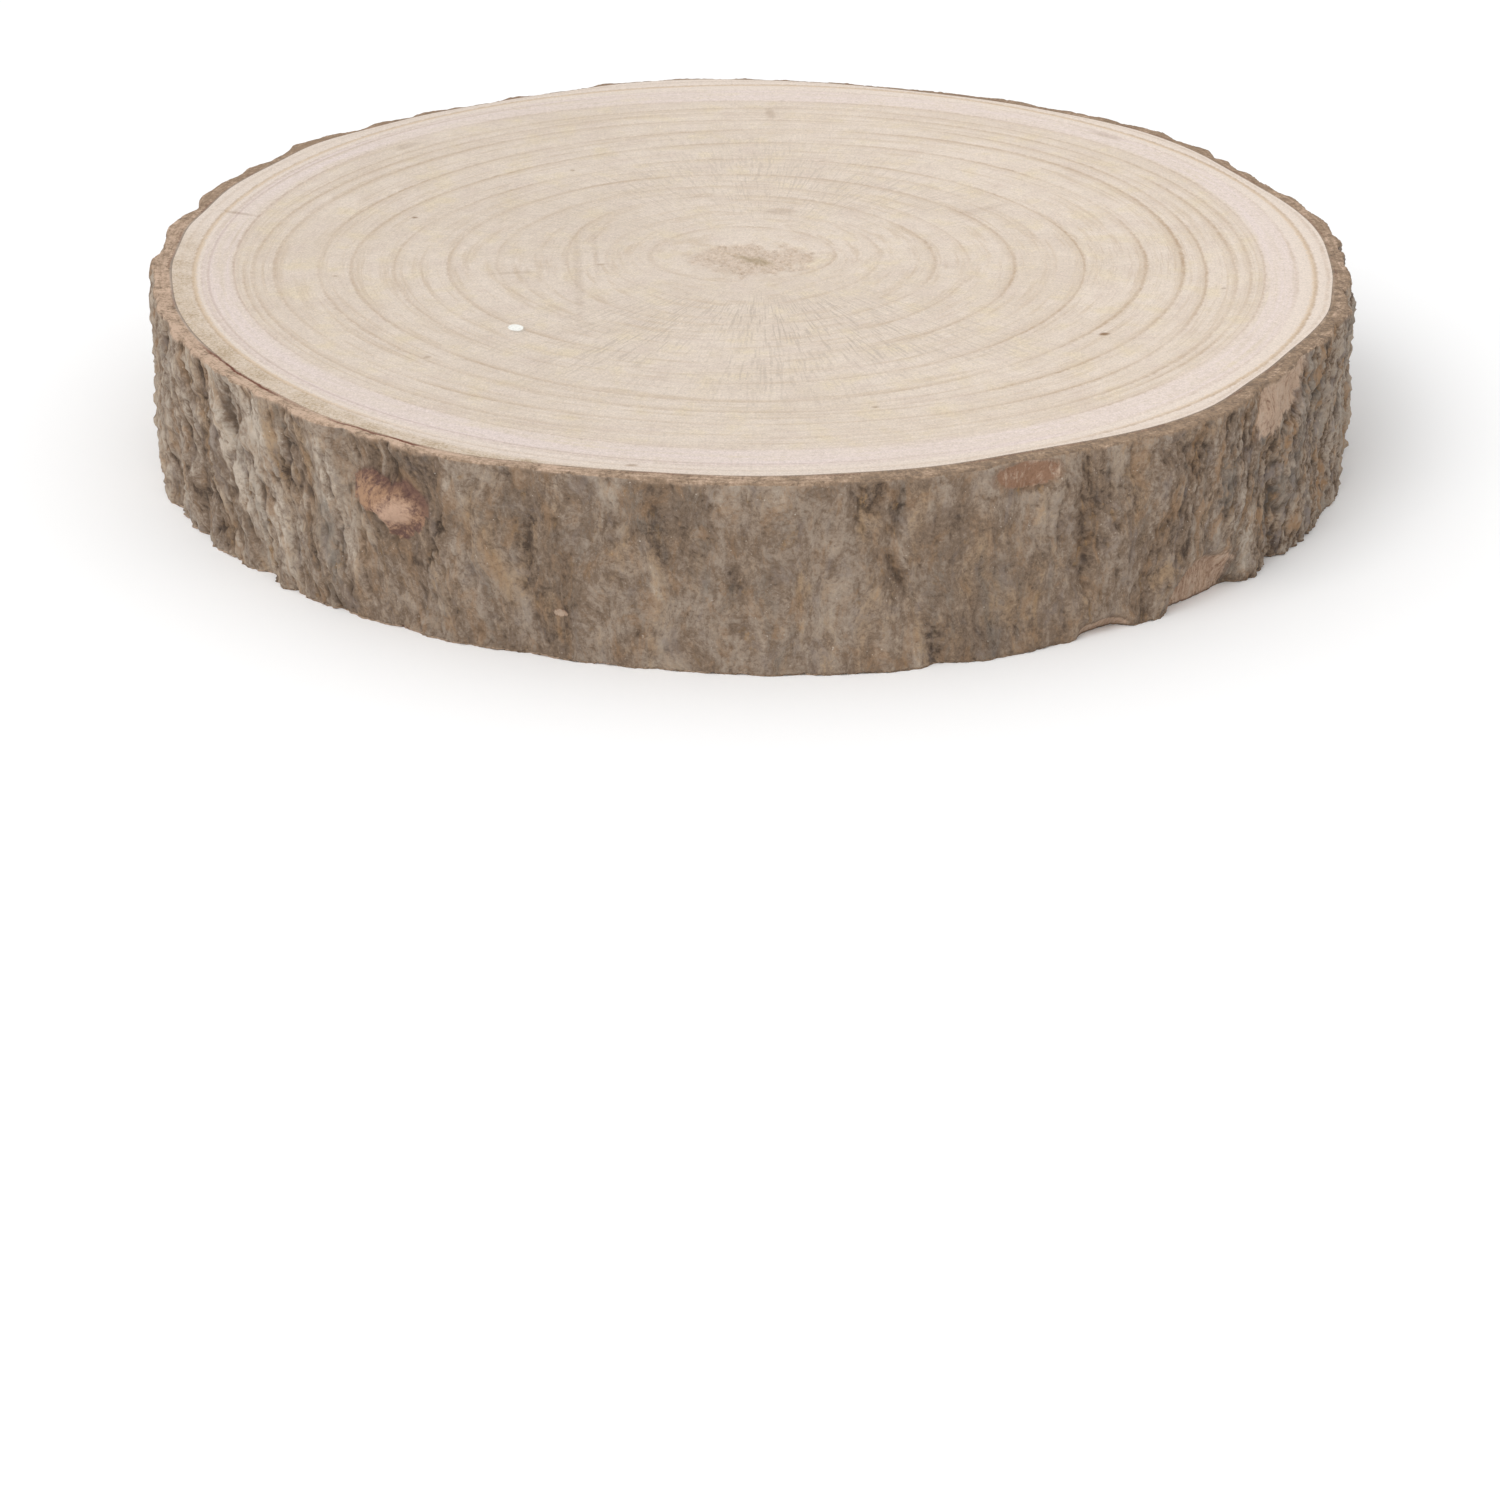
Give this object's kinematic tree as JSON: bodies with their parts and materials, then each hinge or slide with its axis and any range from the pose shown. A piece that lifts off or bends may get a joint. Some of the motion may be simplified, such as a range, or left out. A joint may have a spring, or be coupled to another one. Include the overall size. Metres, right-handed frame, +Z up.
{
  "type": "wood slice",
  "caption": "Round cross-cut slice of a tree stem: pale flat end grain with growth rings and pith, rough furrowed bark round the rim, lying on its lower cut.",
  "frame": {"origin": "under the middle of the slice's plan, on the surface that it lies on", "axes": "+Z up, through the slice's thickness; -Y towards the side that the picture shows nearest, with the healed branch stub on its left"},
  "size_m": [0.2748, 0.2716, 0.0424],
  "materials": {
    "wood": "sanded end grain, dry and matt",
    "bark": "rough furrowed bark, dry and matt"
  },
  "bodies": {
    "root": {"wood_slice": "wood"}
  },
  "joints": []
}
